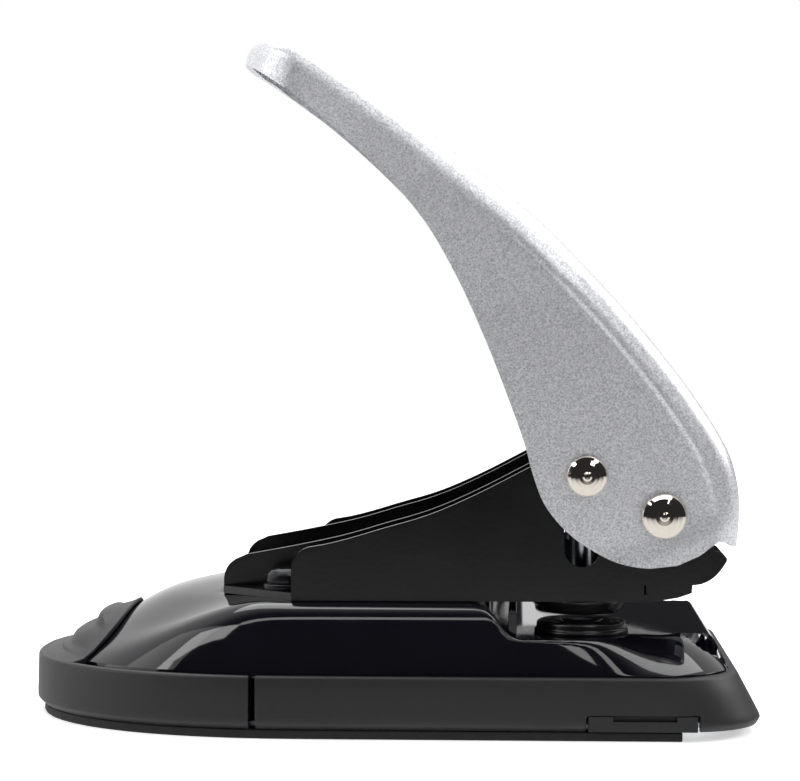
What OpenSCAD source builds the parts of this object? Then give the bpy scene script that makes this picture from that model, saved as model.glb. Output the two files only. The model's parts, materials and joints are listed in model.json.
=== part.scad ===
// Heavy-duty two-hole paper punch with a long sheet-metal lever, two punching brackets
// on a domed base, a chip drawer under it and a sliding paper guide.
// +Z is up and Z = 0 is the table top. The drawer's thumb tongue points to -X, paper enters
// from +X, and the part is symmetric about Y = 0 apart from the paper guide.

/* [Base] */
// Overall length of the base
base_l = 201; // [196:1:206]
// Overall width of the base
base_w = 130; // [128:1:134]
// Height of the matt skirt's rim above the table
rim_h = 16.6; // [16:0.2:18]
// Thickness of the skirt wall
skirt_t = 2.6; // [2:0.1:3]
// Height of the paper table
table_h = 25.9; // [25:0.1:26.5]
// Height of the platform that carries the brackets
platform_h = 35; // [34.5:0.1:36]
// Wall thickness of the gloss cover
cover_t = 2; // [1.6:0.1:2.4]
// Thickness of the rubber mat
mat_t = 2.4; // [2:0.1:2.6]
// Thickness of the steel chassis and floor plate
plate_t = 1.6; // [1.2:0.1:2]

/* [Punching unit] */
// Spacing of the two holes that it punches
hole_pitch = 80; // [79.5:0.1:80.5]
// Diameter of a punch pin
pin_d = 6; // [5.5:0.1:6]
// X position of the punch pins
pin_x = 52.7; // [52:0.1:53.4]
// Sheet thickness of the brackets
bracket_t = 2; // [1.5:0.1:2.2]
// Outer width of a bracket across its two side plates
bracket_w = 22; // [21.6:0.1:22.4]
// Radial running clearance of pins, axle and lever
clearance = 0.05; // [0.03:0.01:0.08]

/* [Lever] */
// Pivot height above the table
pivot_z = 58; // [57.5:0.1:58.5]
// Pivot X position
pivot_x = 74.1; // [73.8:0.1:74.4]
// Diameter of the pivot axle
axle_d = 8; // [7:0.5:8]
// Diameter of the drive rod that presses the pins
rod_d = 6; // [5.5:0.1:6]
// Outer width of the lever at its pivot
lever_w = 108; // [107:0.5:109]
// Outer width of the lever at its tip
lever_tip_w = 70; // [64:1:76]
// Sheet thickness of the lever
lever_t = 2; // [1.6:0.1:2.2]

/* [Drawer and guide] */
// X position of the seam between drawer front and skirt
seam_x = -35.5; // [-36:0.1:-34]
// Half width of the chip tray
tray_hw = 47.5; // [44:0.5:47.5]
// Half width of the thumb tongue at the rim
tongue_hw = 40; // [34:1:42]
// Width of the paper guide bar
guide_w = 16; // [12:0.5:16]

/* [Hidden] */
half_w = base_w / 2;
front_x = -base_l / 2;
rear_x = base_l / 2;
bulge_x = -20;              // where the rounded front meets the straight sides
skirt_bottom = mat_t;       // the skirt hangs down to the top of the mat
widest_z = 4;               // height where the bevel of the skirt ends
rear_lean = 0.5;            // the rear face leans in by this much per mm of height
rear_corner = 22;           // plan radius of the rear corners
pin_y = hole_pitch / 2;
pin_tip_z = 33.2;           // rest height of the punch pins' tips
rod_x = 53.9;               // rest position of the drive rod
rod_z = 68.5;
head_gap = 0.15;            // play between the rod and a pin's head
floor_top = platform_h + bracket_t;
side_in = (bracket_w - 2 * bracket_t) / 2;
side_out = bracket_w / 2;
chassis_hw = 50.5;          // half width over the chassis flanges
post_x = [-12, 38];         // screw posts of the cover
post_y = 56.2;
screw_x = [-26.5, 6];       // bracket screws
slide_gap = 0.3;            // play between sliding pieces
pan_top = mat_t + plate_t;
stop_x = 35.4;              // the paper's edge stops here
die_top = 29.5;
coil_r = 7.2;               // mean radius of a return spring's coil
wire_d = 2;
coil_turns = 7;
$fn = 64;

// ---- helpers -------------------------------------------------------------------------

function sgn(v) = v < 0 ? -1 : 1;

// Plan outline of the base: superellipse front, straight sides, round rear corners.
function base_plan(front, side, rear, corner) = concat(
    [for (a = [90:6:270]) [bulge_x + (bulge_x - front) * sgn(cos(a)) * pow(abs(cos(a)), 2 / 2.25),
        side * sgn(sin(a)) * pow(abs(sin(a)), 2 / 2.25)]],
    [for (a = [-90:10:0]) [rear - corner + corner * cos(a), corner - side + corner * sin(a)]],
    [for (a = [0:10:90]) [rear - corner + corner * cos(a), side - corner + corner * sin(a)]]);

// Point on a smooth curve through p, at parameter u that runs from 0 to len(p) - 1.
function knot(p, i) = p[max(0, min(len(p) - 1, i))];
function along(p, u) = let (i = min(floor(u), len(p) - 2), t = u - i,
    a = knot(p, i - 1), b = knot(p, i), c = knot(p, i + 1), d = knot(p, i + 2))
    0.5 * (2 * b + (c - a) * t + (2 * a - 5 * b + 4 * c - d) * t * t
        + (3 * b - a - 3 * c + d) * t * t * t);
function curve(p, steps) = [for (k = [0:(len(p) - 1) * steps]) along(p, k / steps)];

// The same curve moved sideways by d, to the left of its running direction.
function beside(p, d) = [for (i = [0:len(p) - 1])
    let (v = p[min(i + 1, len(p) - 1)] - p[max(i - 1, 0)]) p[i] + d * [-v[1], v[0]] / norm(v)];

// A thin plan slice, the building block of the lofted shells.
module slice(z, front, side, rear, corner) {
    translate([0, 0, z])
        linear_extrude(0.02)
            polygon(base_plan(front, side, rear, corner));
}

// A side outline in X and Z, given thickness from y0 to y1.
module side_plate(points, y0, y1) {
    translate([0, y1, 0])
        rotate([90, 0, 0])
            linear_extrude(y1 - y0)
                polygon(points);
}

module y_rod(x, z, r, y0, y1) {
    translate([x, y1, z])
        rotate([90, 0, 0])
            cylinder(r = r, h = y1 - y0);
}

module on_side(side) {
    if (side < 0) children();
    else mirror([0, 1, 0]) children();
}

// Low polished rivet head with a peened centre, standing on Y = 0 and pointing to -Y.
module rivet_head(r, nub) {
    rotate([90, 0, 0])
        rotate_extrude()
            polygon([[0, 0], [r, 0], [r, 0.7], [r * 0.94, 1.15], [r * 0.8, 1.6], [r * 0.6, 1.95],
                [r * 0.4, 2.15], [nub, 2.2], [nub * 0.9, 2.6], [nub * 0.6, 2.8], [0, 2.85]]);
}

// ---- lofted forms of the base --------------------------------------------------------

function rear_at(z) = rear_x - rear_lean * (z - widest_z);

// Matt skirt's outer form, made smaller all round by d.
module skirt_form(d) {
    hull() {
        slice(skirt_bottom, front_x + 3.2 + d, half_w - 2 - d, rear_at(widest_z) - 3 - d, rear_corner - d);
        slice(widest_z, front_x + 0.6 + d, half_w - 0.3 - d, rear_at(widest_z) - d, rear_corner - d);
        slice(6, front_x + d, half_w - d, rear_at(6) - d, rear_corner - d);
        slice(rim_h - 0.02, front_x + d, half_w - 0.3 - d, rear_at(rim_h) - d, rear_corner - d);
    }
}

// Gloss cover's outer form before the paper table is cut, made smaller all round by d.
module cover_form(d) {
    hull() {
        slice(rim_h - 2, -96.5 + d, half_w - 3.1 - d, rear_at(rim_h) - 2.2 - d, 20 - d);
        slice(rim_h, -93.5 + d, half_w - 3.1 - d, rear_at(rim_h) - 2.2 - d, 20 - d);
        slice(21.5, -84.6 + d, half_w - 4.4 - d, rear_at(22) - 2 - d, 20 - d);
        slice(28.9 - d, -72.6 + d, half_w - 6.6 - d, rear_at(28) - d, 20 - d);
        slice(33.2 - d, -65 + d, half_w - 8.5 - d, 60, 20 - d);
        slice(35.3 - d, -59 + d, half_w - 11.5 - d, 56, 20 - d);
        slice(37 - d, -50.5 + d, half_w - 22 - d, 50, 20 - d);
        slice(38.4 - d, -40 + d, half_w - 38 - d, 46, 16 - d);
    }
}

// Room above the paper table and its ramp, lowered by d.
module above_table(d) {
    side_plate([[16 - 17 * cos(20), 46 - d], [19, platform_h - d], [23, platform_h - 2.4 - d],
        [28.5, table_h + 1.4 - d], [32.5, table_h - d], [110, table_h - d], [110, 70], [0, 70]], -70, 70);
}

// Pockets in the dome's top that take the two brackets.
module bracket_pockets(d) {
    for (side = [-1, 1])
        on_side(side)
            translate([-47, -62, platform_h - d])
                cube([80, 62 - pin_y + side_out + 1.5, 20]);
}

module cover_shell(d) {
    difference() {
        cover_form(d);
        above_table(d);
        bracket_pockets(d);
    }
}

// ---- base ----------------------------------------------------------------------------

module floor_plate() {
    color("dimgray")
        difference() {
            translate([0, 0, mat_t])
                linear_extrude(plate_t)
                    polygon(base_plan(front_x + 7, half_w - 6, rear_x - 12, 16));
            for (x = post_x, side = [-1, 1])
                translate([x, side * post_y, mat_t - 1]) {
                    cylinder(r = 1.3, h = 4);
                    cylinder(r = 2.5, h = 2);
                }
        }
}

module rubber_mat() {
    mat_rear = 78.5;
    color([0.07, 0.07, 0.075])
        intersection() {
            linear_extrude(mat_t)
                polygon(base_plan(front_x + 1.9, half_w - 1.7, rear_x, 18));
            translate([-120, -80, -1])
                cube([120 + mat_rear, 160, 10]);
        }
}

module base_skirt() {
    ledge_z = rim_h - 3;
    color([0.2, 0.2, 0.21])
        difference() {
            skirt_form(0);
            // the room inside, open at the top and bottom, with a ledge for the cover
            translate([0, 0, -1])
                linear_extrude(30)
                    polygon(base_plan(front_x + 5.4, half_w - 5.4, rear_at(rim_h) - 5.2, 17));
            translate([0, 0, ledge_z + 1])
                linear_extrude(30)
                    polygon(base_plan(front_x + skirt_t, half_w - 2.9, rear_at(rim_h) - 2, 20.2));
            translate([0, 0, -1])
                linear_extrude(ledge_z + 1)
                    polygon(base_plan(front_x + skirt_t, half_w - 3.2, rear_at(rim_h) - 2.6, 19));
            // the drawer's front takes the place of the skirt here
            translate([-150, -80, -1])
                cube([150 + seam_x + 1, 160, 40]);
            // window for the paper guide's end
            translate([53.4, -half_w - 1, 0])
                cube([29.6, 8, 6.9]);
        }
}

module chassis() {
    under = cover_t + 0.3;      // its top lies this far under the cover's outer face
    top = [[-30, platform_h - under], [17, platform_h - under], [30.4, table_h - under],
        [80, table_h - under]];
    low = beside(top, -plate_t);
    profile = concat(top, [for (i = [len(low) - 1:-1:0]) low[i]]);
    flange = concat(top, [[80, pan_top], [-30, pan_top]]);
    color("gray")
        difference() {
            union() {
                side_plate(profile, -chassis_hw, chassis_hw);
                side_plate(flange, -chassis_hw, plate_t - chassis_hw);
                side_plate(flange, chassis_hw - plate_t, chassis_hw);
            }
            for (side = [-1, 1]) {
                translate([pin_x, side * pin_y, 15])
                    cylinder(r = 5.8, h = 15);
                for (x = screw_x)
                    translate([x, side * pin_y, 25])
                        cylinder(r = 2.5, h = 15);
            }
            // slots for the paper guide
            translate([62.5, -60, pan_top - 1])
                cube([17, 120, 4.2]);
        }
}

module top_cover() {
    color([0.03, 0.03, 0.035])
        difference() {
            cover_shell(0);
            translate([0, 0, -0.1])
                cover_shell(cover_t);
            // the drawer slides under the front of the cover
            translate([-150, -80, 0])
                cube([150 + seam_x + 1, 160, rim_h + 0.3]);
            for (side = [-1, 1]) {
                translate([pin_x, side * pin_y, 20])
                    cylinder(r = 6, h = 10);
                for (x = screw_x)
                    translate([x, side * pin_y, 25])
                        cylinder(r = 2.8, h = 15);
            }
        }
    color([0.03, 0.03, 0.035])
        for (x = post_x, side = [-1, 1])
            difference() {
                translate([x, side * post_y, pan_top])
                    cylinder(r = 3.6, h = 18);
                translate([x, side * post_y, pan_top - 1])
                    cylinder(r = 1.25, h = 12);
            }
}

module paper_stop() {
    color([0.05, 0.05, 0.055])
        translate([stop_x - 2.2, -54, table_h])
            cube([2.2, 108, platform_h - table_h - 2.4]);
}

module base_screws() {
    color("silver")
        for (x = post_x, side = [-1, 1])
            translate([x, side * post_y, mat_t]) {
                cylinder(r = 1.2, h = 9);
                cylinder(r = 2.4, h = 0.9);
            }
}

module die_seat(side) {
    color([0.06, 0.06, 0.065])
        translate([pin_x, side * pin_y, 0])
            rotate_extrude()
                polygon([[5.8, table_h], [12.6, table_h], [12.6, table_h + 0.9], [12.1, table_h + 1.2],
                    [11.9, die_top - 0.8], [11.4, die_top - 0.3], [5.8, die_top - 0.3]]);
}

module die(side) {
    color("lightsteelblue")
        translate([pin_x, side * pin_y, 0])
            rotate_extrude()
                polygon([[pin_d / 2 + clearance, 20.4], [5.2, 20.4], [5.75, 21], [5.75, die_top - 0.3],
                    [5.45, die_top], [pin_d / 2 + clearance, die_top]]);
}

module right_die_seat() { die_seat(-1); }
module left_die_seat() { die_seat(1); }
module right_die() { die(-1); }
module left_die() { die(1); }

// ---- brackets ------------------------------------------------------------------------

// Top edge of the side plates, from the toe to the rear end.
function bracket_top() = curve([[-38.5, 45.5], [-26, 47.8], [-12, 50.8], [0, 54.3], [12, 57.9],
    [24.5, 63.3], [38.5, 70.5], [50, 76.6]], 4);

// Side outline of a bracket plate whose toe is at x = toe.
function bracket_side(toe) = let (r = 6, top = [for (p = bracket_top()) if (p[0] > toe + r) p],
    corner = [toe + r, top[0][1] - 0.6 - r])
    concat([[toe, platform_h]], [for (a = [180:-15:105]) corner + r * [cos(a), sin(a)]], top,
        [for (a = [118:-16:-10]) [56, 73.4] + 5.6 * [cos(a - 8), sin(a - 8)]],
        [[80, 61], [87.8, 48.6], [89.6, 48.2], [90.8, 46.8], [90.8, 46]],
        curve([[90.2, 45], [88, 42.2], [85, 40.2], [81, 39.5], [72, 39.5]], 3),
        [[69, 39.4], [69, platform_h]]);

module bracket(side) {
    slot_low = 48.9;
    slot_high = 67.6;
    slot_r = 4.7;
    color([0.09, 0.09, 0.095])
        on_side(side)
            difference() {
                union() {
                    side_plate(bracket_side(-24.5), -pin_y - side_out, -pin_y - side_in);
                    side_plate(bracket_side(-44.7), -pin_y + side_in, -pin_y + side_out);
                    // the floor, with its slanted toe
                    translate([0, 0, platform_h])
                        linear_extrude(bracket_t)
                            polygon([[-44.7, -pin_y + side_out], [-44.7, -pin_y + side_in - 1],
                                [-24.5, -pin_y - side_out], [70, -pin_y - side_out],
                                [70, -pin_y + side_out]]);
                    // lead-in lip that the paper slides under
                    side_plate([[69.5, 35], [74, 35.3], [78, 36], [81, 37], [82, 37.5], [81.2, 38.6],
                        [77, 37.7], [69.5, 37]], -pin_y - side_in, -pin_y + side_in);
                    // its ends close the corners under the two plates
                    for (inner = [0, side_in + side_out - 0.8])
                        side_plate([[69.6, 35], [73, 35.3], [78, 36.3], [81.4, 37.5], [81.8, 38.6],
                            [81.8, 40.4], [69.6, 40.4]], inner - pin_y - side_out + 0.8,
                            inner - pin_y - side_in);
                }
                // slot for the drive rod
                hull() {
                    y_rod(pin_x, slot_low, slot_r, -pin_y - 14, -pin_y + 14);
                    y_rod(pin_x, slot_high, slot_r, -pin_y - 14, -pin_y + 14);
                }
                y_rod(pivot_x, pivot_z, axle_d / 2, -pin_y - 14, -pin_y + 14);
                translate([pin_x, -pin_y, platform_h - 1])
                    cylinder(r = 7, h = 4);
                for (x = screw_x)
                    translate([x, -pin_y, platform_h - 1])
                        cylinder(r = 2.8, h = 4);
            }
}

module right_bracket() { bracket(-1); }
module left_bracket() { bracket(1); }

module guide_bush(side) {
    color("gray")
        translate([pin_x, side * pin_y, 0])
            rotate_extrude()
                polygon([[pin_d / 2 + clearance, 31.4], [9.6, 31.4], [10.2, 31.8], [12.2, platform_h],
                    [7, platform_h], [7, floor_top], [8.4, floor_top], [8.4, floor_top + 3.4],
                    [7.8, floor_top + 4], [pin_d / 2 + clearance, floor_top + 4]]);
}

module right_guide_bush() { guide_bush(-1); }
module left_guide_bush() { guide_bush(1); }

module bracket_washers() {
    color("dimgray")
        for (side = [-1, 1], x = screw_x)
            translate([x, side * pin_y, floor_top])
                difference() {
                    cylinder(r = 6.5, h = 1.6);
                    translate([0, 0, -1])
                        cylinder(r = 2.7, h = 4);
                }
}

module bracket_screws() {
    color([0.12, 0.12, 0.125])
        for (side = [-1, 1], x = screw_x)
            translate([x, side * pin_y, 0])
                difference() {
                    rotate_extrude()
                        polygon([[0, 28.5], [2.4, 28.5], [2.4, floor_top + 1.6], [5.5, floor_top + 1.6],
                            [5.7, floor_top + 2.4], [5.5, floor_top + 4], [4.4, floor_top + 5.1],
                            [2.4, floor_top + 5.6], [0, floor_top + 5.7]]);
                    translate([0, 0, floor_top + 3.2])
                        cylinder(r = 2.6, h = 4, $fn = 6);
                }
}

// ---- pivot, lever and drive ----------------------------------------------------------

module pivot_axle() {
    color("silver") {
        y_rod(pivot_x, pivot_z, axle_d / 2, -lever_w / 2 - 0.3, lever_w / 2 + 0.3);
        for (side = [-1, 1])
            on_side(side)
                translate([pivot_x, -lever_w / 2 - 0.3, pivot_z])
                    rivet_head(5.9, 1.3);
    }
}

module pivot_spacer() {
    reach = pin_y - side_out - 0.1;
    color("gray")
        difference() {
            y_rod(pivot_x, pivot_z, axle_d / 2 + 2, -reach, reach);
            y_rod(pivot_x, pivot_z, axle_d / 2 + clearance, -reach - 1, reach + 1);
        }
}

module drive_rod() {
    color("silver") {
        y_rod(rod_x, rod_z, rod_d / 2, -lever_w / 2, lever_w / 2);
        for (side = [-1, 1])
            on_side(side)
                translate([rod_x, -lever_w / 2, rod_z])
                    rivet_head(5.35, 1.3);
    }
}

// A leg of a spring, a straight wire from point a to point b in X and Z.
module spring_leg(a, b, y) {
    v = b - a;
    translate([a[0], y, a[1]])
        rotate([0, atan2(v[0], v[1]), 0])
            cylinder(r = wire_d / 2, h = norm(v), $fn = 16);
}

module return_spring(side) {
    half = coil_turns * wire_d / 2;
    low = -51;
    high = 92.1;
    centre = [pivot_x, pivot_z];
    color("slategray")
        on_side(side)
            translate([0, -pin_y, 0]) {
                translate([pivot_x, 0, pivot_z])
                    rotate([90, 0, 0])
                        rotate_extrude()
                            for (i = [0:coil_turns - 1])
                                translate([coil_r, wire_d * (i + 0.5) - half])
                                    circle(r = wire_d * 0.53, $fn = 16);
                spring_leg(centre + coil_r * [cos(low), sin(low)], [61, 38.1], half - wire_d / 2);
                spring_leg(centre + coil_r * [cos(high), sin(high)], [48.9, 64.28], wire_d / 2 - half);
            }
}

module right_return_spring() { return_spring(-1); }
module left_return_spring() { return_spring(1); }

// Back edge of the lever, from its tip to the foot of the web.
function lever_back() = curve([[-41, 180.4], [-39.5, 183.6], [-36.5, 185.6], [-32.5, 186.3], [-22, 183.4],
    [1.4, 168], [21.7, 152], [40, 137], [55, 122], [68.5, 107], [80.4, 92], [90.2, 77], [93.6, 67],
    [94.2, 58], [93.4, 49.7]], 3);

// Front edge of the lever's cheeks, from the foot of the web to the tip.
function lever_front() = curve([[88.6, 51.6], [86.6, 50], [83.6, 47.7], [77.5, 45], [70.5, 44.2], [63.5, 45.2],
    [57.3, 47.7], [49.4, 53], [43, 60.5], [39.6, 69], [37.3, 77.4], [32, 92], [26, 107], [19, 122],
    [10, 137], [-3.5, 152], [-21, 167.5], [-37, 178.6]], 3);

// Wedge that gives the lever its width, narrowing to the tip; d makes it smaller.
module lever_wedge(d) {
    reach = 175;
    wide_to = 62;       // full width as far as the cheeks pass the brackets
    translate([pivot_x, 0, pivot_z])
        rotate([0, -42.5, 0])
            rotate([90, 0, 90])
                translate([0, 0, -120])
                    linear_extrude(240)
                        polygon([[-lever_w / 2 + d, -70], [lever_w / 2 - d, -70], [lever_w / 2 - d, wide_to],
                            [lever_tip_w / 2 - d, reach], [-lever_tip_w / 2 + d, reach],
                            [-lever_w / 2 + d, wide_to]]);
}

module lever() {
    back = lever_back();
    inner = beside(back, -lever_t);
    color([0.78, 0.78, 0.8])
        difference() {
            intersection() {
                side_plate(concat(back, lever_front()), -70, 70);
                lever_wedge(0);
            }
            intersection() {
                side_plate(concat(inner, [[90, 40], [40, 30], [-60, 150], [-43, 178]]), -70, 70);
                lever_wedge(lever_t);
            }
            y_rod(pivot_x, pivot_z, axle_d / 2 + clearance, -70, 70);
            y_rod(rod_x, rod_z, rod_d / 2, -70, 70);
        }
}

// ---- punch pins ----------------------------------------------------------------------

head_top = rod_z - rod_d / 2 - head_gap;

module punch_pin(side) {
    color("silver")
        translate([pin_x, side * pin_y, 0])
            rotate_extrude()
                polygon([[0, pin_tip_z + 0.6], [pin_d / 2 - 0.4, pin_tip_z], [pin_d / 2, pin_tip_z + 0.1],
                    [pin_d / 2, head_top - 2], [4.5, head_top - 2], [4.5, head_top - 0.4],
                    [4.1, head_top], [0, head_top]]);
}

module right_punch_pin() { punch_pin(-1); }
module left_punch_pin() { punch_pin(1); }

// Sheet-metal stirrup that hooks a pin's head to the drive rod, so the pin is drawn back up.
module pin_stirrup(side) {
    sheet = 1.2;
    inside_hw = 4.75;
    low = head_top - 2;
    high = rod_z + rod_d / 2 + 0.5;
    color("darkgray")
        translate([pin_x, side * pin_y, 0])
            difference() {
                translate([-inside_hw - sheet, -4, low - sheet])
                    cube([2 * (inside_hw + sheet), 8, high - low + 2 * sheet]);
                translate([-inside_hw, -5, low])
                    cube([2 * inside_hw, 10, high - low]);
                translate([0, 0, low - sheet - 1])
                    cylinder(r = pin_d / 2 + clearance, h = 3);
            }
}

module right_pin_stirrup() { pin_stirrup(-1); }
module left_pin_stirrup() { pin_stirrup(1); }

// ---- drawer and guide ----------------------------------------------------------------

// Plan shape of the thumb tongue, narrowing in an arc as it climbs the dome.
module tongue_plan() {
    root_x = -86;
    rise = 13.4;
    linear_extrude(60)
        polygon(concat([[-120, -tongue_hw]],
            [for (a = [-90:10:90]) [root_x + rise * cos(a), tongue_hw * sin(a)]],
            [[-120, tongue_hw]]));
}

module chip_drawer() {
    tray_rear = 60;
    tray_top = rim_h - 1.2;
    tray_floor = pan_top + 0.4;
    wall = 1.5;
    color([0.2, 0.2, 0.21]) {
        // front: a length of skirt
        difference() {
            skirt_form(0);
            translate([0, 0, -1])
                linear_extrude(30)
                    polygon(base_plan(front_x + 3.6, half_w - 3.4, rear_x, rear_corner));
            translate([seam_x, -80, -1])
                cube([200, 160, 40]);
            translate([-150, -80, 0])
                cube([200, 160, mat_t + slide_gap]);
        }
        // floor of the tray, spread out to the front
        translate([0, 0, tray_floor])
            linear_extrude(1.2)
                intersection() {
                    polygon(base_plan(front_x + 3.2, half_w - 3, rear_x, rear_corner));
                    translate([-110, -80])
                        square([110 + seam_x, 160]);
                }
        difference() {
            translate([seam_x - 10, -tray_hw, tray_floor])
                cube([tray_rear - seam_x + 10, 2 * tray_hw, tray_top - tray_floor]);
            translate([seam_x - 20, wall - tray_hw, tray_floor + 1.2])
                cube([tray_rear - seam_x + 20 - wall, 2 * (tray_hw - wall), 30]);
        }
        for (side = [-1, 1])
            translate([seam_x - wall, side > 0 ? tray_hw - wall : 3 - half_w, tray_floor])
                cube([wall, half_w - 3 - tray_hw + wall, tray_top - tray_floor]);
        // thumb tongue over the front of the dome
        difference() {
            intersection() {
                skirt_and_dome(1.9);
                tongue_plan();
                translate([-150, -80, rim_h - 2])
                    cube([150, 160, 40]);
            }
            cover_form(-0.45);
        }
    }
}

// Dome and rim together, the form that the thumb tongue is cut from; d is its rise.
module skirt_and_dome(d) {
    hull() {
        slice(rim_h - 3, front_x + 0.2, half_w - 0.4, 60, 20);
        slice(rim_h, front_x + 0.6, half_w - 0.5, 59, 20);
        slice(21.5, -84.6 - d, half_w - 4.4, 58, 20);
        slice(28.9, -72.6 - d * 1.3, half_w - 6.6, 57, 20);
        slice(33.2 + d * 0.4, -65 - d, half_w - 9.5, 56, 20);
    }
}

module paper_guide() {
    bar_z = pan_top + slide_gap;
    color([0.2, 0.2, 0.21])
        difference() {
            union() {
                translate([63, -61, bar_z])
                    cube([guide_w, 104, 2.2]);
                translate([54, slide_gap - half_w, mat_t + slide_gap])
                    cube([28.4, 3.8, 4]);
            }
            // finger notch in the top edge of the end
            translate([60.5, -half_w - 1, mat_t + 3])
                cube([16.5, 3, 4]);
        }
}

floor_plate();
rubber_mat();
base_skirt();
chassis();
top_cover();
paper_stop();
base_screws();
right_die_seat();
left_die_seat();
right_die();
left_die();
right_bracket();
left_bracket();
right_guide_bush();
left_guide_bush();
bracket_washers();
bracket_screws();
pivot_axle();
pivot_spacer();
right_return_spring();
left_return_spring();
lever();
drive_rod();
right_punch_pin();
left_punch_pin();
right_pin_stirrup();
left_pin_stirrup();
chip_drawer();
paper_guide();
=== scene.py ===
import json
import math

import bmesh
import bpy
import numpy as np
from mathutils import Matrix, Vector


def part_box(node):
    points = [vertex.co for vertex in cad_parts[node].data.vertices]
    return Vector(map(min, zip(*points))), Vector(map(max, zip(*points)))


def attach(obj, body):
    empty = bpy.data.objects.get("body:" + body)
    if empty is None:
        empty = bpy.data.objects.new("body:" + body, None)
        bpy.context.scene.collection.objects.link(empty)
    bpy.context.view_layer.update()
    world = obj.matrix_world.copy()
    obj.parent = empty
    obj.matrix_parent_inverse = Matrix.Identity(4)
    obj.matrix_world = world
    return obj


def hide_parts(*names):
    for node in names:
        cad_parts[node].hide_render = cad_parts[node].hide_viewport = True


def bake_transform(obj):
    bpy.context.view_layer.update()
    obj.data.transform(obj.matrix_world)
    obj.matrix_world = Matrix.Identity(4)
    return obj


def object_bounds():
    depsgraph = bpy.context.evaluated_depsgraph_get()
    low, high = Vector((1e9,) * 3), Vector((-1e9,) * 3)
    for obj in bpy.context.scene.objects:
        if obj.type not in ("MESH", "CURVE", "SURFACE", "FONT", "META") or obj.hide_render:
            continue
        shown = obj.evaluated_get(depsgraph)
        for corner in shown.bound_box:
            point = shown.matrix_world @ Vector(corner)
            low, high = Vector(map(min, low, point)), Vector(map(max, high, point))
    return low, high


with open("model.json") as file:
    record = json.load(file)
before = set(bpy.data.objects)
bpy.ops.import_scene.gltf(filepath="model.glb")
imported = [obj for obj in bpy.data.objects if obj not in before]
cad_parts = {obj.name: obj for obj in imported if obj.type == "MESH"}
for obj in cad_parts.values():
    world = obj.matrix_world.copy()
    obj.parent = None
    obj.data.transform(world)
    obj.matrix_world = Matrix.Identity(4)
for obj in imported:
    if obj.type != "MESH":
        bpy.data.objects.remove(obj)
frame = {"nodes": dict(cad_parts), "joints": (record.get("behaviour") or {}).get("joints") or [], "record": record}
cad_low, cad_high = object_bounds()
MM = 0.001

# ---- driving places, in millimetres, read from the frame ------------------------------


def cad_box(node):
    """Lowest and highest corner of a CAD node in millimetres."""
    low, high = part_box(node)
    return np.array(low) / MM, np.array(high) / MM


def joint_place(name):
    """Where a hinge's axis is, in millimetres."""
    return np.array(next(j for j in frame["joints"] if j["name"] == name)["pos_m"]) / MM


PIVOT = joint_place("lever_hinge")
PIN = (cad_box("right_punch_pin")[0] + cad_box("right_punch_pin")[1]) / 2
PIN_Y = abs(PIN[1])
FRONT_X = cad_low[0] / MM
REAR_X = cad_high[0] / MM
HALF_W = cad_high[1] / MM
RIM_Z = cad_box("base_skirt")[1][2]
TABLE_Z = cad_box("right_die_seat")[0][2]
FLOOR_Z = cad_box("right_bracket")[0][2]
SEAM_DRAWER_X = cad_box("base_skirt")[0][0] - 0.1     # where the drawer's front ends
SEAM_SKIRT_X = SEAM_DRAWER_X + 1.7                    # where the skirt begins, past the seam
LEVER_HW = cad_box("lever")[1][1]
BULGE_X = -20.0          # where the rounded front meets the straight sides
PLAN_POWER = 2.25        # superellipse power of the front
REAR_LEAN = 0.5          # how far the rear face leans forward per unit of height
COVER_SET_IN = 2.2       # the cover's edge from the skirt's outside

# ---- small helpers ---------------------------------------------------------------------


def smooth(x, low, high):
    """0 below low, 1 above high, an S-curve between."""
    t = np.clip((np.asarray(x, float) - low) / (high - low), 0, 1)
    return t * t * (3 - 2 * t)


def soft_min(a, b, k):
    """The lower of a and b, with the corner between them rounded over k."""
    h = np.clip(0.5 + 0.5 * (b - a) / k, 0, 1)
    return b * (1 - h) + a * h - k * h * (1 - h)


def curve_at(points, u):
    """Smooth curve through points, at parameter u from 0 to len(points) - 1."""
    p = np.asarray(points, float)
    i = min(int(u), len(p) - 2)
    t = u - i
    a, b, c, d = (p[min(max(k, 0), len(p) - 1)] for k in (i - 1, i, i + 1, i + 2))
    return 0.5 * (2 * b + (c - a) * t + (2 * a - 5 * b + 4 * c - d) * t * t
                  + (3 * b - a - 3 * c + d) * t ** 3)


def curve(points, steps):
    """A smooth curve through the points, with steps to each stretch."""
    return [curve_at(points, k / steps) for k in range((len(points) - 1) * steps + 1)]


def make_piece(name, verts, faces, finish, body, slot, replaces=(), sharp=38):
    """A mesh piece from millimetre points, with its finish, body and the CAD nodes it stands for; slot is not
    used.
    """
    mesh = bpy.data.meshes.new(name)
    mesh.from_pydata([tuple(float(c) * MM for c in v) for v in verts], [], faces)
    mesh.validate()
    piece = bpy.data.objects.new(name, mesh)
    bpy.context.scene.collection.objects.link(piece)
    tidy_normals(piece)
    settle(piece, finish, body, replaces, sharp)
    return piece


def settle(piece, finish, body, replaces=(), sharp=38):
    """Gives a piece its finish, smooth shading, body and the nodes it stands in for."""
    piece.data.materials.clear()
    piece.data.materials.append(finish)
    piece.data.polygons.foreach_set("use_smooth", [True] * len(piece.data.polygons))
    piece.data.set_sharp_from_angle(angle=math.radians(sharp))
    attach(piece, body)
    if replaces:
        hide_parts(*replaces)


def tidy_normals(piece, recalculate=True):
    """Joins doubled points and turns the faces outwards."""
    bm = bmesh.new()
    bm.from_mesh(piece.data)
    bmesh.ops.remove_doubles(bm, verts=bm.verts, dist=3e-6)
    if recalculate:
        bmesh.ops.recalc_face_normals(bm, faces=bm.faces)
    bm.to_mesh(piece.data)
    bm.free()


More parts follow.
